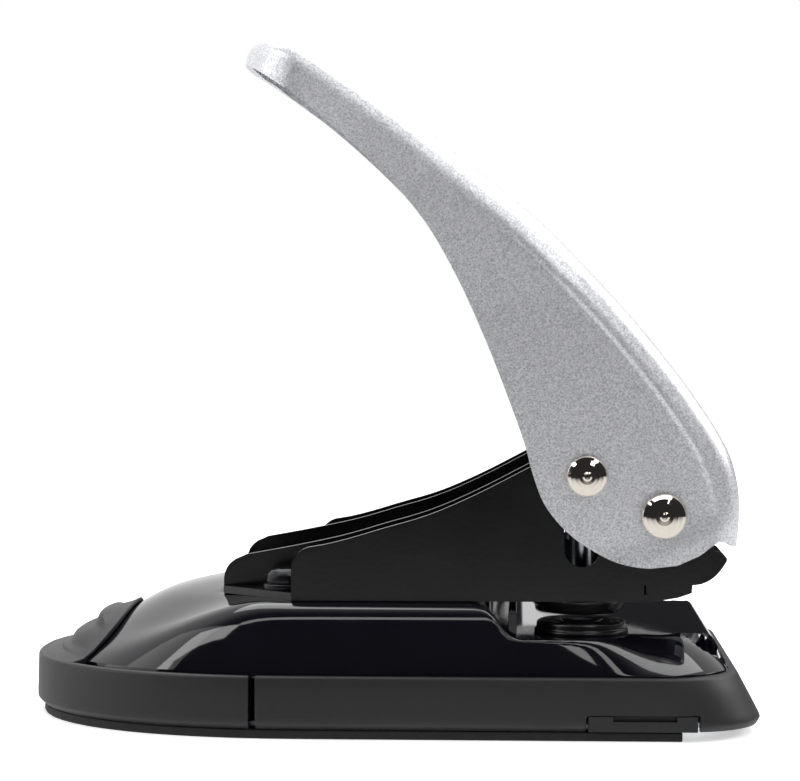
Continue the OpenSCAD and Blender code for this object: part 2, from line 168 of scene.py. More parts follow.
def round_edges(piece, width, segments=3, angle=35, weld=False):
    """Rounds every edge sharper than angle; weld first where the mesh comes from the CAD."""
    if weld:
        piece.modifiers.new("weld", "WELD").merge_threshold = 1e-6
    bevel = piece.modifiers.new("rounded", "BEVEL")
    bevel.width = width * MM
    bevel.segments = segments
    bevel.limit_method = "ANGLE"
    bevel.angle_limit = math.radians(angle)
    bevel.harden_normals = True
    return piece


def give_thickness(piece, thickness):
    """Makes a skin into sheet, inwards from its outer face."""
    solid = piece.modifiers.new("sheet", "SOLIDIFY")
    solid.thickness = thickness * MM
    solid.offset = -1
    return piece


def apply_all(piece):
    """Bakes the piece's modifiers into its mesh."""
    bpy.context.view_layer.update()
    done = bpy.data.meshes.new_from_object(piece.evaluated_get(bpy.context.evaluated_depsgraph_get()))
    piece.modifiers.clear()
    piece.data = done
    return piece


def cut_or_join(piece, other, operation):
    """Cuts other out of piece, or joins it on, and removes other."""
    step = piece.modifiers.new("step", "BOOLEAN")
    step.object = other
    step.operation = operation
    step.solver = "EXACT"
    apply_all(piece)
    bpy.data.objects.remove(other)
    return piece


def loose_mesh(name, verts, faces, recalculate=True):
    """A mesh object that is only a step on the way to a piece."""
    mesh = bpy.data.meshes.new(name)
    mesh.from_pydata([tuple(float(c) * MM for c in v) for v in verts], [], faces)
    o = bpy.data.objects.new(name, mesh)
    bpy.context.scene.collection.objects.link(o)
    tidy_normals(o, recalculate)
    return o


def prism_y(outline, y0, y1):
    """Vertices and faces of an outline in X and Z, extruded from y0 to y1."""
    n = len(outline)
    verts = [(p[0], y, p[1]) for y in (y0, y1) for p in outline]
    faces = [tuple(range(n)), tuple(range(2 * n - 1, n - 1, -1))]
    faces += [(i, (i + 1) % n, (i + 1) % n + n, i + n) for i in range(n)]
    return verts, faces


def prism_z(outline, z0, z1):
    """Vertices and faces of an outline in plan, raised from z0 to z1."""
    n = len(outline)
    verts = [(p[0], p[1], z) for z in (z0, z1) for p in outline]
    faces = [tuple(range(n)), tuple(range(2 * n - 1, n - 1, -1))]
    faces += [(i, (i + 1) % n, (i + 1) % n + n, i + n) for i in range(n)]
    return verts, faces


def circle(cx, cy, r, n=48):
    """Points round a circle."""
    turns = [2 * math.pi * k / n for k in range(n)]
    return [(cx + r * math.cos(a), cy + r * math.sin(a)) for a in turns]


# ---- camera, floor and light -----------------------------------------------------------


def set_camera():
    """A long lens at bench height, looking at the punch's right side."""
    lens_mm, sensor_mm = 115.1, 36
    place = Vector((36.5, -727, 108.5)) * MM
    yaw, pitch = 2.71, 1.49           # degrees to the left of +Y, and down
    data = bpy.data.cameras.new("camera")
    data.lens = lens_mm
    data.sensor_width = sensor_mm
    data.clip_end = 20
    camera = bpy.data.objects.new("camera", data)
    bpy.context.scene.collection.objects.link(camera)
    camera.location = place
    camera.rotation_euler = (math.radians(90 - pitch), 0, math.radians(yaw))
    bpy.context.scene.camera = camera


def add_light(name, place, target, size, power, colour="#ffffff"):
    """A rectangular soft box at place, aimed at target."""
    data = bpy.data.lights.new(name, "AREA")
    data.shape = "RECTANGLE"
    data.size, data.size_y = size
    data.energy = power
    data.color = linear(colour)[:3]
    light = bpy.data.objects.new(name, data)
    bpy.context.scene.collection.objects.link(light)
    light.location = place
    light.rotation_euler = (Vector(target) - Vector(place)).to_track_quat("-Z", "Y").to_euler()
    return light


def flat_sheet(name, half, z, finish):
    """A level square sheet that belongs to the studio."""
    mesh = bpy.data.meshes.new(name)
    corners = [(-half, -half, z), (half, -half, z), (half, half, z), (-half, half, z)]
    mesh.from_pydata(corners, [], [(0, 1, 2, 3)])
    sheet = bpy.data.objects.new(name, mesh)
    bpy.context.scene.collection.objects.link(sheet)
    mesh.materials.append(finish)
    return sheet


def set_floor():
    """A pale floor; the copy of it that glossy pieces mirror is painted darker towards the front of the studio, as
    painted shade.
    """
    flat_sheet("floor", 9.0, 0.0, pale_floor("pale_floor", "#fafafa", 0.5)).visible_glossy = False
    # painted shade: a floor copy seen only in reflections, dark towards the front in place of the dark studio
    # there
    mirrored = flat_sheet("floor_seen_in_gloss", 9.0, -0.0002, pale_floor("shaded_floor", "#2a2a2a", 0.0))
    mirrored.visible_camera = mirrored.visible_diffuse = mirrored.visible_shadow = False


def set_light():
    """A studio that is white behind and dark in front, whose floor brightens below, and soft boxes."""
    world = bpy.data.worlds.new("studio")
    bpy.context.scene.world = world
    world.use_nodes = True
    tree = world.node_tree
    tree.nodes.clear()
    way = add(tree, "ShaderNodeTexCoord")
    split = add(tree, "ShaderNodeSeparateXYZ", {"Vector": way.outputs["Generated"]})
    behind = add(tree, "ShaderNodeMapRange", {"Value": split.outputs["Y"], "From Min": -0.5, "From Max": 0.1},
                 interpolation_type="SMOOTHSTEP")
    below = add(tree, "ShaderNodeMapRange", {"Value": split.outputs["Z"], "From Min": -0.045,
                                             "From Max": -0.3, "To Max": 0.9},
                interpolation_type="SMOOTHSTEP")
    bright = add(tree, "ShaderNodeMath", {0: behind.outputs["Result"], 1: below.outputs["Result"]},
                 operation="MAXIMUM")
    rightward = add(tree, "ShaderNodeMapRange", {"Value": split.outputs["X"], "From Min": 0.015,
                                                 "From Max": 0.035}, interpolation_type="SMOOTHSTEP")
    low = add(tree, "ShaderNodeMapRange", {"Value": split.outputs["Z"], "From Min": 0.34, "From Max": 0.2},
              interpolation_type="SMOOTHSTEP")
    shade = add(tree, "ShaderNodeMath", {0: rightward.outputs["Result"], 1: low.outputs["Result"]},
                operation="MULTIPLY")
    lit = add(tree, "ShaderNodeMath", {0: bright.outputs["Value"], 1: shade.outputs["Value"]},
              operation="SUBTRACT", use_clamp=True)
    tone = add(tree, "ShaderNodeMix", {"Factor": lit.outputs["Value"], "A": linear("#2c2c2e"),
                                       "B": linear("#ffffff")}, data_type="RGBA")
    path = add(tree, "ShaderNodeLightPath")
    plain = add(tree, "ShaderNodeMix", {"Factor": path.outputs["Is Camera Ray"], "A": tone.outputs["Result"],
                                        "B": linear("#ffffff")}, data_type="RGBA")
    shine = add(tree, "ShaderNodeBackground", {"Color": plain.outputs["Result"], "Strength": 1.0})
    add(tree, "ShaderNodeOutputWorld", {"Surface": shine.outputs["Background"]})
    add_light("top_box", (0.1, 0.25, 1.1), (0, 0, 0.05), (1.4, 0.9), 14)
    add_light("left_box", (-1.1, -0.3, 0.55), (0, 0, 0.08), (0.8, 0.9), 2.5)
    add_light("strip_box", (0.1, -0.72, 0.92), (0, 0, 0.05), (1.5, 0.1), 1.6)
    add_light("left_strip", (-0.8, -0.62, 0.75), (-0.05, 0, 0.03), (0.5, 0.22), 1.6)
    add_light("front_right_box", (0.5, -1.0, 0.78), (0.08, -0.05, 0.02), (0.5, 0.32), 1.8)
    add_light("right_box", (1.25, 0.3, 0.75), (0.05, 0, 0.03), (0.4, 0.35), 5)
    fill = add_light("front_fill", (0.35, -1.5, 0.5), (0, 0, 0.06), (1.2, 0.5), 5)
    fill.visible_glossy = False
    scene = bpy.context.scene
    scene.view_settings.view_transform = "Standard"


# ---- materials -------------------------------------------------------------------------


def linear(hex_colour):
    """sRGB hex to a linear RGBA colour."""
    values = [int(hex_colour[i:i + 2], 16) / 255 for i in (1, 3, 5)]
    return [v / 12.92 if v <= 0.04045 else ((v + 0.055) / 1.055) ** 2.4 for v in values] + [1.0]


def per_metre(size_mm):
    """Pattern scale, in repeats per metre, of a detail that is size_mm wide."""
    return 1000 / size_mm


def add(tree, kind, inputs=None, **settings):
    """Adds one node with its settings, and sets or links its inputs."""
    n = tree.nodes.new(kind)
    for key, value in settings.items():
        setattr(n, key, value)
    for key, value in (inputs or {}).items():
        found = [s for s in n.inputs if s.name == key and s.enabled] or [n.inputs[key]]
        if isinstance(value, bpy.types.NodeSocket):
            tree.links.new(value, found[0])
        else:
            found[0].default_value = value
    return n


def new_material(name):
    """An empty node material, its tree, and the object coordinates that its patterns use."""
    material = bpy.data.materials.new(name)
    material.use_nodes = True
    tree = material.node_tree
    tree.nodes.clear()
    where = add(tree, "ShaderNodeTexCoord").outputs["Object"]
    return material, tree, where


def finish_with(material, tree, sockets):
    """Ends a material with the main shader and its output."""
    shader = add(tree, "ShaderNodeBsdfPrincipled", sockets)
    add(tree, "ShaderNodeOutputMaterial", {"Surface": shader.outputs["BSDF"]})
    return material


def silver_lacquer():
    """Silver metallic lacquer over pressed steel: aluminium flakes give a fine sparkle of light and
    dark points, and a thin clear coat gives a soft broad gloss. Real flakes are about 0.05 mm; they
    are drawn 0.3 mm wide, so that they show."""
    material, tree, where = new_material("silver_lacquer")
    flakes = add(tree, "ShaderNodeTexVoronoi", {"Vector": where, "Scale": per_metre(0.3)})
    grey = add(tree, "ShaderNodeSeparateColor", {"Color": flakes.outputs["Color"]})
    cloud = add(tree, "ShaderNodeTexNoise", {"Vector": where, "Scale": per_metre(0.6), "Detail": 2.0})
    mixed = add(tree, "ShaderNodeMath", {0: grey.outputs["Red"], 1: cloud.outputs["Fac"]}, operation="ADD")
    share = add(tree, "ShaderNodeMapRange", {"Value": mixed.outputs["Value"], "From Min": 0.25,
                                             "From Max": 1.4})
    tone = add(tree, "ShaderNodeMix", {"Factor": share.outputs["Result"], "A": linear("#a9aab0"),
                                       "B": linear("#f2f2f5")}, data_type="RGBA")
    gloss = add(tree, "ShaderNodeMapRange", {"Value": grey.outputs["Green"], "To Min": 0.34, "To Max": 0.5})
    tilt = add(tree, "ShaderNodeBump", {"Height": grey.outputs["Blue"], "Strength": 0.12,
                                        "Distance": 0.00006})
    return finish_with(material, tree, {
        "Base Color": tone.outputs["Result"], "Metallic": 0.8, "Roughness": gloss.outputs["Result"],
        "Normal": tilt.outputs["Normal"], "Coat Weight": 0.25, "Coat Roughness": 0.18})


def gloss_abs():
    """High-gloss black ABS, polished in the mould: a mirror-like skin whose reflections wander
    a little over long, very shallow sink waves, with faint dulled patches."""
    material, tree, where = new_material("gloss_abs")
    waves = add(tree, "ShaderNodeTexNoise", {"Vector": where, "Scale": per_metre(22), "Detail": 1.0})
    haze = add(tree, "ShaderNodeTexNoise", {"Vector": where, "Scale": per_metre(9), "Detail": 4.0})
    dull = add(tree, "ShaderNodeMapRange", {"Value": haze.outputs["Fac"], "From Min": 0.3, "From Max": 0.75,
                                            "To Min": 0.035, "To Max": 0.075})
    tone = add(tree, "ShaderNodeMix", {"Factor": haze.outputs["Fac"], "A": linear("#08080d"),
                                       "B": linear("#0c0c12")}, data_type="RGBA")
    sway = add(tree, "ShaderNodeBump", {"Height": waves.outputs["Fac"], "Strength": 0.05, "Distance": 0.0004})
    return finish_with(material, tree, {
        "Base Color": tone.outputs["Result"], "Roughness": dull.outputs["Result"], "IOR": 1.53,
        "Normal": sway.outputs["Normal"]})


def matt_abs():
    """Black ABS with a spark-eroded mould texture: a fine even grain about 0.3 mm across that
    scatters the light to a soft grey sheen."""
    material, tree, where = new_material("matt_abs")
    grain = add(tree, "ShaderNodeTexNoise", {"Vector": where, "Scale": per_metre(0.55), "Detail": 3.0,
                                             "Roughness": 0.6})
    patches = add(tree, "ShaderNodeTexNoise", {"Vector": where, "Scale": per_metre(30), "Detail": 2.0})
    tone = add(tree, "ShaderNodeMix", {"Factor": patches.outputs["Fac"], "A": linear("#111113"),
                                       "B": linear("#171719")}, data_type="RGBA")
    dull = add(tree, "ShaderNodeMapRange", {"Value": grain.outputs["Fac"], "To Min": 0.4, "To Max": 0.58})
    skin = add(tree, "ShaderNodeBump", {"Height": grain.outputs["Fac"], "Strength": 0.35,
                                        "Distance": 0.00008})
    return finish_with(material, tree, {
        "Base Color": tone.outputs["Result"], "Roughness": dull.outputs["Result"], "IOR": 1.5,
        "Normal": skin.outputs["Normal"]})


def black_enamel():
    """Black stoved enamel on bent sheet steel: a wet-looking film with a light orange-peel
    texture about 1.2 mm across."""
    material, tree, where = new_material("black_enamel")
    peel = add(tree, "ShaderNodeTexNoise", {"Vector": where, "Scale": per_metre(1.6), "Detail": 1.5})
    patches = add(tree, "ShaderNodeTexNoise", {"Vector": where, "Scale": per_metre(14), "Detail": 2.0})
    tone = add(tree, "ShaderNodeMix", {"Factor": patches.outputs["Fac"], "A": linear("#060607"),
                                       "B": linear("#0b0b0c")}, data_type="RGBA")
    dull = add(tree, "ShaderNodeMapRange", {"Value": patches.outputs["Fac"], "To Min": 0.2, "To Max": 0.3})
    skin = add(tree, "ShaderNodeBump", {"Height": peel.outputs["Fac"], "Strength": 0.12,
                                        "Distance": 0.00012})
    return finish_with(material, tree, {
        "Base Color": tone.outputs["Result"], "Roughness": dull.outputs["Result"], "IOR": 1.52,
        "Normal": skin.outputs["Normal"]})


def polished_nickel():
    """Nickel-plated and polished steel: a warm mirror with hair-fine wiping marks."""
    material, tree, where = new_material("polished_nickel")
    wipes = add(tree, "ShaderNodeTexNoise", {"Vector": where, "Scale": per_metre(0.8), "Detail": 5.0,
                                             "Distortion": 1.5})
    dull = add(tree, "ShaderNodeMapRange", {"Value": wipes.outputs["Fac"], "To Min": 0.02, "To Max": 0.07})
    skin = add(tree, "ShaderNodeBump", {"Height": wipes.outputs["Fac"], "Strength": 0.05,
                                        "Distance": 0.00005})
    tone = add(tree, "ShaderNodeMix", {"Factor": wipes.outputs["Fac"], "A": linear("#e0d8cc"),
                                       "B": linear("#f3ede2")}, data_type="RGBA")
    return finish_with(material, tree, {
        "Base Color": tone.outputs["Result"], "Metallic": 1.0, "Roughness": dull.outputs["Result"],
        "Normal": skin.outputs["Normal"]})


def ground_steel():
    """Hardened tool steel, ground round: fine rings a few tenths of a millimetre apart."""
    material, tree, where = new_material("ground_steel")
    stretch = add(tree, "ShaderNodeMapping", {"Vector": where, "Scale": (0.12, 0.12, 1.0)})
    rings = add(tree, "ShaderNodeTexNoise", {"Vector": stretch.outputs["Vector"], "Scale": per_metre(0.35),
                                             "Detail": 3.0})
    tone = add(tree, "ShaderNodeMix", {"Factor": rings.outputs["Fac"], "A": linear("#8d9197"),
                                       "B": linear("#c3c7cc")}, data_type="RGBA")
    skin = add(tree, "ShaderNodeBump", {"Height": rings.outputs["Fac"], "Strength": 0.15,
                                        "Distance": 0.00004})
    return finish_with(material, tree, {
        "Base Color": tone.outputs["Result"], "Metallic": 1.0, "Roughness": 0.24,
        "Normal": skin.outputs["Normal"]})


def spring_wire():
    """Oil-tempered spring steel wire: dark grey with drawn streaks and a dull oily shine."""
    material, tree, where = new_material("spring_wire")
    streaks = add(tree, "ShaderNodeTexNoise", {"Vector": where, "Scale": per_metre(1.1), "Detail": 4.0})
    tone = add(tree, "ShaderNodeMix", {"Factor": streaks.outputs["Fac"], "A": linear("#3c3d41"),
                                       "B": linear("#6c6e73")}, data_type="RGBA")
    dull = add(tree, "ShaderNodeMapRange", {"Value": streaks.outputs["Fac"], "To Min": 0.28, "To Max": 0.45})
    return finish_with(material, tree, {
        "Base Color": tone.outputs["Result"], "Metallic": 1.0, "Roughness": dull.outputs["Result"]})


def zinc_sheet():
    """Bright zinc-plated sheet steel: a bluish grey with soft clouds from the plating bath and
    long rolling marks."""
    material, tree, where = new_material("zinc_sheet")
    stretch = add(tree, "ShaderNodeMapping", {"Vector": where, "Scale": (0.08, 1.0, 1.0)})
    rolling = add(tree, "ShaderNodeTexNoise", {"Vector": stretch.outputs["Vector"], "Scale": per_metre(0.9),
                                               "Detail": 3.0})
    clouds = add(tree, "ShaderNodeTexNoise", {"Vector": where, "Scale": per_metre(12), "Detail": 3.0})
    tone = add(tree, "ShaderNodeMix", {"Factor": clouds.outputs["Fac"], "A": linear("#9a9fa5"),
                                       "B": linear("#bdc1c4")}, data_type="RGBA")
    dull = add(tree, "ShaderNodeMapRange", {"Value": rolling.outputs["Fac"], "To Min": 0.25, "To Max": 0.45})
    skin = add(tree, "ShaderNodeBump", {"Height": rolling.outputs["Fac"], "Strength": 0.1,
                                        "Distance": 0.00005})
    return finish_with(material, tree, {
        "Base Color": tone.outputs["Result"], "Metallic": 1.0, "Roughness": dull.outputs["Result"],
        "Normal": skin.outputs["Normal"]})


def blacked_steel():
    """Chemically blacked steel of screws and washers: nearly black, with a thin oily gloss and
    worn greyer spots."""
    material, tree, where = new_material("blacked_steel")
    wear = add(tree, "ShaderNodeTexNoise", {"Vector": where, "Scale": per_metre(2.2), "Detail": 4.0})
    tone = add(tree, "ShaderNodeMix", {"Factor": wear.outputs["Fac"], "A": linear("#0e0e10"),
                                       "B": linear("#26272a")}, data_type="RGBA")
    dull = add(tree, "ShaderNodeMapRange", {"Value": wear.outputs["Fac"], "To Min": 0.16, "To Max": 0.34})
    return finish_with(material, tree, {
        "Base Color": tone.outputs["Result"], "Metallic": 0.6, "Roughness": dull.outputs["Result"]})


def moulded_rubber():
    """Compression-moulded rubber of the mat: dull black with a pebbled skin about 0.8 mm across."""
    material, tree, where = new_material("moulded_rubber")
    pebble = add(tree, "ShaderNodeTexVoronoi", {"Vector": where, "Scale": per_metre(1.1)},
                 feature="SMOOTH_F1")
    tone = add(tree, "ShaderNodeMix", {"Factor": pebble.outputs["Distance"], "A": linear("#161617"),
                                       "B": linear("#0d0d0e")}, data_type="RGBA")
    skin = add(tree, "ShaderNodeBump", {"Height": pebble.outputs["Distance"], "Strength": 0.4,
                                        "Distance": 0.0002})
    return finish_with(material, tree, {
        "Base Color": tone.outputs["Result"], "Roughness": 0.78, "Normal": skin.outputs["Normal"]})


def pale_floor(name, front_colour, glow):
    """Matt white board that the punch stands on; it can be painted darker towards the front edge of the studio, as
    painted shade.
    """
    material, tree, where = new_material(name)
    split = add(tree, "ShaderNodeSeparateXYZ", {"Vector": where})
    fibre = add(tree, "ShaderNodeTexNoise", {"Vector": where, "Scale": per_metre(40), "Detail": 2.0})
    near = add(tree, "ShaderNodeMapRange", {"Value": split.outputs["Y"], "From Min": -0.6, "From Max": -0.14},
               interpolation_type="SMOOTHSTEP")
    board = add(tree, "ShaderNodeMix", {"Factor": fibre.outputs["Fac"], "A": linear("#f6f6f6"),
                                        "B": linear("#fafafa")}, data_type="RGBA")
    tone = add(tree, "ShaderNodeMix", {"Factor": near.outputs["Result"], "A": linear(front_colour),
                                       "B": board.outputs["Result"]}, data_type="RGBA")
    return finish_with(material, tree, {
        "Base Color": tone.outputs["Result"], "Roughness": 0.8, "Emission Color": linear("#ffffff"),
        "Emission Strength": glow, "Specular IOR Level": 0.1})


# ---- the base --------------------------------------------------------------------------


def rear_at(z):
    """X of the leaning rear face at height z."""
    return REAR_X - REAR_LEAN * (z - 4)


def base_plan(front, side, rear, corner):
    """Plan outline: superellipse front, straight sides, round rear corners."""
    points = []
    for k in range(61):
        a = math.radians(90 + 3 * k)
        c, s = math.cos(a), math.sin(a)
        points.append((BULGE_X + (BULGE_X - front) * math.copysign(abs(c) ** (2 / PLAN_POWER), c),
                       side * math.copysign(abs(s) ** (2 / PLAN_POWER), s)))
    for sign, first in ((-1, -90), (1, 0)):
        for k in range(13):
            a = math.radians(first + 7.5 * k)
            points.append((rear - corner + corner * math.cos(a),
                           sign * (side - corner) + corner * math.sin(a)))
    return points


def skirt_ring(levels):
    """Closed ring lofted through levels of (z, inset), from the outer foot up and down the inside."""
    verts, faces = [], []
    for z, inset in levels:
        plan = base_plan(FRONT_X + inset, HALF_W - inset, rear_at(z) - 1.1 * inset, 22 - inset)
        verts += [(x, y, z) for x, y in plan]
    n, m = len(verts) // len(levels), len(levels)
    for i in range(m):
        for k in range(n):
            j, up = (k + 1) % n, (i + 1) % m
            faces.append((i * n + k, i * n + j, up * n + j, up * n + k))
    return verts, faces


# (z, inset) from the chamfered foot up the outside, over the rounded rim and down the inside
SKIRT_LEVELS = [(2.5, 2.0), (2.6, 1.75), (4.0, 0.3), (4.25, 0.12), (4.7, 0.02), (6.0, 0.0), (11, 0.12),
                (15.7, 0.25), (16.2, 0.4), (16.5, 0.75), (16.6, 1.2), (16.6, 2.2), (16.5, 2.6), (16.1, 2.8),
                (14, 3.0), (2.7, 3.3), (2.5, 3.1)]


def keep_side(piece, x, keep_low):
    """Cuts the ring at x and closes the cut ends."""
    bm = bmesh.new()
    bm.from_mesh(piece.data)
    bmesh.ops.bisect_plane(bm, geom=bm.verts[:] + bm.edges[:] + bm.faces[:], plane_co=(x * MM, 0, 0),
                           plane_no=(1, 0, 0), clear_outer=keep_low, clear_inner=not keep_low)
    bmesh.ops.holes_fill(bm, edges=[e for e in bm.edges if e.is_boundary])
    bmesh.ops.recalc_face_normals(bm, faces=bm.faces)
    bm.to_mesh(piece.data)
    bm.free()


def base_skirt():
    """The skirt behind the seam, with the window that the paper guide slides out of."""
    guide_low = cad_box("paper_guide")[0]
    window_rear_x = 82.9
    ring = loose_mesh("base_skirt_shell", *skirt_ring(SKIRT_LEVELS))
    keep_side(ring, SEAM_SKIRT_X, False)
    x0, x1, top, r = guide_low[0] - 0.5, window_rear_x, guide_low[2] + 4.2, 0.8
    window = [(x0, 0), (x1, 0), (x1, top - r), (x1 - r * 0.3, top - r * 0.3), (x1 - r, top),
              (x0 + r, top), (x0 + r * 0.3, top - r * 0.3), (x0, top - r)]
    cut_or_join(ring, loose_mesh("window", *prism_y(window, -HALF_W - 2, -HALF_W + 6)), "DIFFERENCE")
    settle(ring, MATT, "base", ["base_skirt"])
    round_edges(ring, 0.35, 2, 50)


def drawer_front():
    """The front length of the skirt, which pulls out with the chip tray."""
    ring = loose_mesh("drawer_front", *skirt_ring(SKIRT_LEVELS))
    keep_side(ring, SEAM_DRAWER_X, True)
    settle(ring, MATT, "drawer", ["chip_drawer"])
    round_edges(ring, 0.35, 2, 50)


DOME_MID = [(-110, 9), (-99, 14.6), (-93.4, 16.9), (-89, 19.2), (-84.4, 21.8), (-78.5, 25.2), (-72.6, 28.8),
            (-65.3, 32.6), (-59.5, 34.6), (-53.7, 36.0), (-48.8, 36.9), (-42, 37.7), (-30, 38.3), (-20, 38.5)]
SIDE_WALL = [(0, 16.9), (0.6, 19.2), (1.5, 22.5), (2.7, 26.4), (3.9, 29.6), (5.2, 32.0), (6.7, 33.7),
             (8.6, 34.7), (11, 35.2), (20, 36.0), (32, 37.4), (45, 38.3), (64, 38.5)]
COVER_FRONT_X = -93.4
COVER_HW = 61.9
COVER_CORNER = 20.0


def dome_reach(x, y):
    """1 on the cover's rounded front rim, 0 at the middle of the dome, and over 1 outside."""
    dx = np.minimum(np.asarray(x, float) - BULGE_X, 0) / (BULGE_X - COVER_FRONT_X)
    dy = np.asarray(y, float) / COVER_HW
    return (np.abs(dx) ** PLAN_POWER + np.abs(dy) ** PLAN_POWER) ** (1 / PLAN_POWER)


def mid_x(x, y):
    """X on the middle plane that has the same dome reach as the point."""
    return BULGE_X - (BULGE_X - COVER_FRONT_X) * dome_reach(x, y)


def cover_height(x, y):
    """Height of the gloss cover's outer surface over the plan."""
    x, y = np.asarray(x, float), np.asarray(y, float)
    reach = dome_reach(x, y)
    mid = np.interp(mid_x(x, y), *zip(*DOME_FINE))
    corner_x, corner_y = rear_at(RIM_Z) - COVER_SET_IN - COVER_CORNER, COVER_HW - COVER_CORNER
    in_corner = (x > corner_x) & (np.abs(y) > corner_y)
    arc = COVER_CORNER - np.hypot(x - corner_x, np.abs(y) - corner_y)
    inset = np.where(in_corner, arc, COVER_HW - np.abs(y))
    inset = np.where(x < BULGE_X, (1 - reach) * COVER_HW, inset)
    wall = np.interp(np.maximum(inset, 0), *zip(*WALL_FINE))
    soft = RIM_Z + 0.3 + (TABLE_Z - RIM_Z - 0.2) * np.sin(np.clip(inset / 17, 0, 1) * math.pi / 2) ** 0.9
    rearward = smooth(x, 36, 74)
    wall = wall * (1 - rearward) + soft * rearward
    ahead = np.minimum(x - BULGE_X, 0) / (BULGE_X - COVER_FRONT_X)
    frontness = smooth(np.abs(ahead) / np.maximum(reach, 1e-6), 0.15, 0.92)
    top = wall * (1 - frontness) + mid * frontness
    pocket = smooth(np.abs(y), 26.5, 28.5) * smooth(x, -50, -46)
    top = top * (1 - pocket) + soft_min(top, FLOOR_Z + 0 * top, 0.6) * pocket
    ramp = np.interp(x, *zip(*RAMP_FINE))
    top = soft_min(top, ramp, 1.2)
    return soft_min(top, (rear_at(0) - COVER_SET_IN - x) / REAR_LEAN, 2.6)


def fine(points, steps=12):
    """Points of a smooth curve as a table of rising x."""
    return [tuple(p) for p in curve(points, steps)]


DOME_FINE = fine(DOME_MID, 6)
WALL_FINE = fine(SIDE_WALL)
RAMP_FINE = fine([(-120, 60), (8, 60), (13, 44), (17, 38.6), (21, 36.2), (24.5, 35.0), (27.5, 33.6),
                  (30, 31.2), (32.2, 28.4), (34.2, 26.7), (36.6, TABLE_Z + 0.1), (40, TABLE_Z), (60, TABLE_Z),
                  (110, TABLE_Z)])


def top_cover():
    """The dome, platform, ramp and table as one skin over a grid: a fan for the rounded front and
    straight lines across for the rest."""
    shares = np.concatenate([np.linspace(0, 0.8, 26), 1 - 0.2 * (1 - np.linspace(0, 1, 26)[1:]) ** 1.6])
    lines = []
    for k in range(61):
        a = math.radians(90 + 3 * k)
        c, s = math.cos(a), math.sin(a)
        ex = (BULGE_X - COVER_FRONT_X) * math.copysign(abs(c) ** (2 / PLAN_POWER), c)
        ey = COVER_HW * math.copysign(abs(s) ** (2 / PLAN_POWER), s)
        lines.append([(BULGE_X + r * ex, r * ey) for r in shares])
    verts, faces = [], []

    def add_line(line):
        xs, ys = np.array(line).T
        zs = cover_height(xs, ys)
        first = len(verts)
        verts.extend(zip(xs, ys, zs))
        return list(range(first, len(verts)))

    fans = [add_line(line) for line in lines]
    for a, b in zip(fans, fans[1:]):
        faces += [(a[i], a[i + 1], b[i + 1], b[i]) for i in range(len(a) - 1)]
    rear = rear_at(RIM_Z) - 2.3
    corner_x = rear - COVER_CORNER
    stations = np.concatenate([np.linspace(BULGE_X, 10, 12), np.linspace(10, 38, 44)[1:],
                               np.linspace(38, 72, 18)[1:], corner_x + COVER_CORNER
                               * np.sin(np.linspace(0, math.pi / 2, 34)[1:])])
    both = np.concatenate([-shares[::-1], shares[1:]])
    rows = []
    for x in stations:
        over = max(0.0, x - corner_x)
        half = COVER_HW - COVER_CORNER + math.sqrt(max(COVER_CORNER ** 2 - over ** 2, 0))
        rows.append(add_line([(x, t * half) for t in both]))
    for a, b in zip(rows, rows[1:]):
        faces += [(a[i], b[i], b[i + 1], a[i + 1]) for i in range(len(a) - 1)]
    cover = loose_mesh("top_cover_shell", verts, faces)
    bm = bmesh.new()
    bm.from_mesh(cover.data)
    bmesh.ops.remove_doubles(bm, verts=bm.verts, dist=2e-5)
    rim = [e for e in bm.edges if e.is_boundary]
    made = bmesh.ops.extrude_edge_only(bm, edges=rim)["geom"]
    for v in made:
        if isinstance(v, bmesh.types.BMVert):
            v.co.z = (RIM_Z - 0.9) * MM
    bmesh.ops.recalc_face_normals(bm, faces=bm.faces)
    bm.to_mesh(cover.data)
    bm.free()
    if sum(p.normal.z for p in cover.data.polygons) < 0:
        cover.data.flip_normals()
    give_thickness(cover, 1.6)
    apply_all(cover)
    for side in (-1, 1):
        hole = prism_z(circle(PIN[0], side * PIN_Y, 6), TABLE_Z - 8, TABLE_Z + 5)
        cut_or_join(cover, loose_mesh("die_hole", *hole), "DIFFERENCE")
    settle(cover, GLOSS, "base", ["top_cover"], sharp=50)


# ---- the chip drawer -------------------------------------------------------------------


TONGUE_MID = [(-100.3, 14.4), (-99.5, 15.8), (-98.2, 16.6), (-96.4, 17.1), (-93.3, 17.9), (-91.5, 18.9),
              (-90.9, 19.6), (-90.4, 20.9), (-89.6, 21.8), (-88.2, 22.7), (-86.6, 23.4), (-85.2, 23.9),
              (-84.1, 24.5), (-83.7, 25.2), (-83.3, 26.4), (-82.5, 27.3), (-81.2, 27.7), (-79.8, 27.85),
              (-78.6, 28.2), (-77, 29.1), (-75.4, 30.0), (-74.2, 30.35), (-72.9, 30.4), (-60, 31.5)]
TONGUE_FINE = fine(TONGUE_MID, 5)
TONGUE_PLAIN = fine([(-100.3, 14.4), (-99.5, 15.8), (-98.2, 16.6), (-96.4, 17.1), (-93.4, 18.2), (-89, 20.9),
                     (-84.4, 23.7), (-78.5, 27.0), (-72.6, 30.2), (-65, 34)], 5)


def tongue_height(x, y):
    """Height of the thumb tongue's ribbed top, which follows the dome's front."""
    return np.interp(mid_x(x, y), *zip(*TONGUE_FINE))


